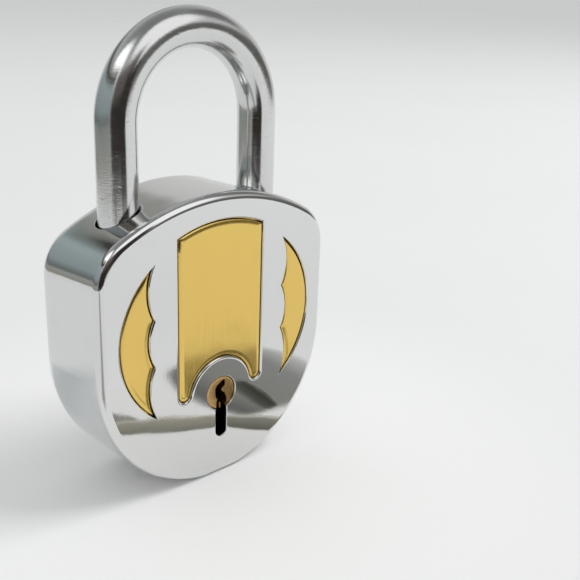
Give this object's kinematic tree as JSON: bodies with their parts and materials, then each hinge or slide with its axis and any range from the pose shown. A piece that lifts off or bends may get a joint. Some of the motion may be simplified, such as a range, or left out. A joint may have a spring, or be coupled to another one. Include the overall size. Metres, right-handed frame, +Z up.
{
  "type": "padlock",
  "caption": "Chrome-plated lever padlock with a round shackle, a shield-shaped case with raised brass fields, and a brass key plug.",
  "frame": {"origin": "middle of the small flat under the case, on the surface that the padlock stands on", "axes": "+Z up along the shackle's legs, +X to the right seen from the keyhole side, +Y from the keyhole face to the back plate"},
  "size_m": [0.065, 0.023, 0.1081],
  "materials": {
    "chrome_case": "bright chrome plate, fine polishing lines",
    "chrome_shackle": "bright chrome plate with drawn lengthwise scratches",
    "field_brass": "lacquered, satin, pressed with soft bevels",
    "plug_brass": "turned and slightly tarnished",
    "lever_brass": "stamped, unpolished",
    "inner_steel": "machined, lightly oiled",
    "spring_steel": "drawn wire",
    "bronze": "rolled phosphor bronze"
  },
  "bodies": {
    "root": {"case": "chrome_case", "back_plate": "chrome_case", "case_rivets": "inner_steel", "brass_liner": "field_brass", "heel_block": "inner_steel", "heel_pin": "inner_steel", "toe_guide": "inner_steel", "plug_bush": "bronze", "catch_pivot": "inner_steel", "catch_front_spacer": "bronze", "catch_rear_spacer": "bronze", "lever_post": "inner_steel", "lever_centre_spacer": "bronze", "lever_rear_spacer": "bronze", "lever_stop": "inner_steel", "lever_spring": "bronze", "shackle_spring": "spring_steel"},
    "shackle": {"shackle": "chrome_shackle"},
    "key_plug": {"key_plug": "plug_brass"},
    "catch": {"catch": "inner_steel", "catch_stump": "inner_steel"},
    "lever_1": {"lever_1": "lever_brass"},
    "lever_2": {"lever_2": "lever_brass"},
    "lever_3": {"lever_3": "lever_brass"},
    "lever_4": {"lever_4": "lever_brass"},
    "lever_5": {"lever_5": "lever_brass"},
    "lever_6": {"lever_6": "lever_brass"},
    "lever_7": {"lever_7": "lever_brass"},
    "lever_8": {"lever_8": "lever_brass"}
  },
  "joints": [
    {"name": "shackle_lift", "type": "slide", "parent": "root", "child": "shackle", "axis": [0, 0, 1], "range_m": [0, 0.018], "deforming": ["shackle_spring", "lever_spring"]},
    {"name": "key_plug_turn", "type": "hinge", "parent": "root", "child": "key_plug", "pos_m": [0, 0, 0.0213], "axis": [0, 1, 0], "range_deg": [0, 180]},
    {"name": "catch_turn", "type": "hinge", "parent": "root", "child": "catch", "pos_m": [0.0077, 0, 0.056], "axis": [0, -1, 0], "range_deg": [0, 120]},
    {"name": "lever_1_lift", "type": "hinge", "parent": "root", "child": "lever_1", "pos_m": [-0.009, 0, 0.04], "axis": [0, -1, 0], "range_deg": [0, 10]},
    {"name": "lever_2_lift", "type": "hinge", "parent": "root", "child": "lever_2", "pos_m": [-0.009, 0, 0.04], "axis": [0, -1, 0], "range_deg": [0, 13]},
    {"name": "lever_3_lift", "type": "hinge", "parent": "root", "child": "lever_3", "pos_m": [-0.009, 0, 0.04], "axis": [0, -1, 0], "range_deg": [0, 8]},
    {"name": "lever_4_lift", "type": "hinge", "parent": "root", "child": "lever_4", "pos_m": [-0.009, 0, 0.04], "axis": [0, -1, 0], "range_deg": [0, 12]},
    {"name": "lever_5_lift", "type": "hinge", "parent": "root", "child": "lever_5", "pos_m": [-0.009, 0, 0.04], "axis": [0, -1, 0], "range_deg": [0, 9]},
    {"name": "lever_6_lift", "type": "hinge", "parent": "root", "child": "lever_6", "pos_m": [-0.009, 0, 0.04], "axis": [0, -1, 0], "range_deg": [0, 14]},
    {"name": "lever_7_lift", "type": "hinge", "parent": "root", "child": "lever_7", "pos_m": [-0.009, 0, 0.04], "axis": [0, -1, 0], "range_deg": [0, 11]},
    {"name": "lever_8_lift", "type": "hinge", "parent": "root", "child": "lever_8", "pos_m": [-0.009, 0, 0.04], "axis": [0, -1, 0], "range_deg": [0, 13]}
  ],
  "couplings": [
    {"joint": "key_plug_turn", "follows": "shackle_lift", "rad_per_m": 174.53},
    {"joint": "catch_turn", "follows": "shackle_lift", "rad_per_m": 116.28},
    {"joint": "lever_1_lift", "follows": "shackle_lift", "rad_per_m": 9.6962},
    {"joint": "lever_2_lift", "follows": "shackle_lift", "rad_per_m": 12.605},
    {"joint": "lever_3_lift", "follows": "shackle_lift", "rad_per_m": 7.757},
    {"joint": "lever_4_lift", "follows": "shackle_lift", "rad_per_m": 11.636},
    {"joint": "lever_5_lift", "follows": "shackle_lift", "rad_per_m": 8.7266},
    {"joint": "lever_6_lift", "follows": "shackle_lift", "rad_per_m": 13.575},
    {"joint": "lever_7_lift", "follows": "shackle_lift", "rad_per_m": 10.666},
    {"joint": "lever_8_lift", "follows": "shackle_lift", "rad_per_m": 12.605}
  ]
}
